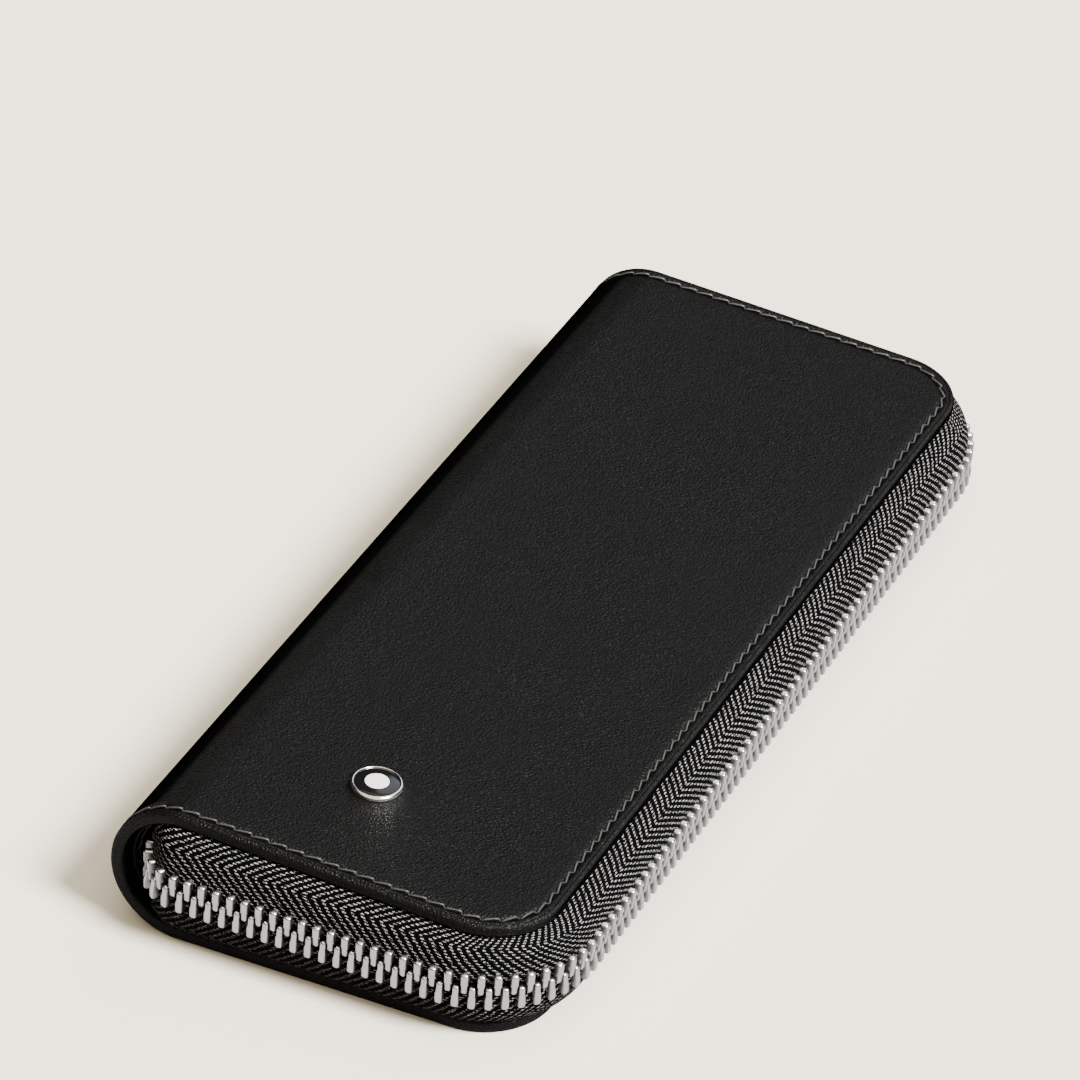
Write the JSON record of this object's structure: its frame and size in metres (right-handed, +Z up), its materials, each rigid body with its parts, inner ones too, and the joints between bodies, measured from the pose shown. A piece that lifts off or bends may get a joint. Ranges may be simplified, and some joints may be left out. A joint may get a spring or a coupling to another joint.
{
  "type": "fountain pen case",
  "caption": "Zip-around black leather pen case with a half-round folded spine, herringbone zip tapes, metal teeth, ring emblem and two inner pen sleeves.",
  "frame": {"origin": "centre of the back panel's outer face, which lies on the table", "axes": "+X from the folded spine to the opening side, +Y along the spine away from the emblem, +Z up from the back panel to the front panel"},
  "size_m": [0.0712, 0.1777, 0.0223],
  "materials": {
    "leather": "smooth black leather with fine grain",
    "edge": "black leather with painted, rounded edges",
    "board": "grey stiffener board",
    "lining": "thin black lining leather",
    "thread": "waxed black thread",
    "tape": "black and grey herringbone weave",
    "elastic": "ribbed black elastic",
    "teeth": "bright nickel plating",
    "emblem_metal": "polished nickel plating",
    "emblem_disc": "glossy black resin",
    "slider_metal": "bright nickel plating"
  },
  "bodies": {
    "back": {"back_leather": "leather", "back_backing": "edge", "back_board": "board", "back_lining": "lining", "back_thread": "thread", "back_tape": "tape", "back_teeth": "teeth", "back_top_stop": "teeth", "bottom_stop": "teeth", "pen_sleeve_left": "lining", "pen_sleeve_right": "lining", "pen_loop_left": "elastic", "pen_loop_right": "elastic"},
    "spine": {"spine_leather": "leather", "spine_backing": "edge", "spine_lining": "lining", "spine_thread": "thread"},
    "front": {"front_leather": "leather", "front_backing": "edge", "front_board": "board", "front_lining": "lining", "front_thread": "thread", "front_tape": "tape", "front_teeth": "teeth", "front_top_stop": "teeth", "emblem_ring": "emblem_metal", "emblem_disc": "emblem_disc", "emblem_post": "emblem_metal", "emblem_washer": "emblem_metal"},
    "slider": {"slider_body": "slider_metal", "slider_bail": "slider_metal"},
    "puller": {"puller_tab": "slider_metal"}
  },
  "joints": [
    {"name": "cover_open", "type": "hinge", "parent": "back", "child": "spine", "pos_m": [-0.02973, 0, 0.00327], "axis": [0, -1, 0], "range_deg": [0, 91.75]},
    {"name": "front_fold", "type": "hinge", "parent": "spine", "child": "front", "pos_m": [-0.02924, 0, 0.0195], "axis": [0, -1, 0], "range_deg": [0, 91.75]},
    {"name": "slider_slide", "type": "slide", "parent": "back", "child": "slider", "axis": [0.9995, 0, -0.0305], "range_m": [0, 0.026], "deforming": ["back_teeth", "front_teeth"]},
    {"name": "puller_swing", "type": "hinge", "parent": "slider", "child": "puller", "pos_m": [-0.014, 0.08895, 0.01091], "axis": [0.0305, 0, 0.9995], "range_deg": [0, 170]}
  ],
  "couplings": [
    {"joint": "front_fold", "follows": "cover_open", "ratio": 1}
  ]
}
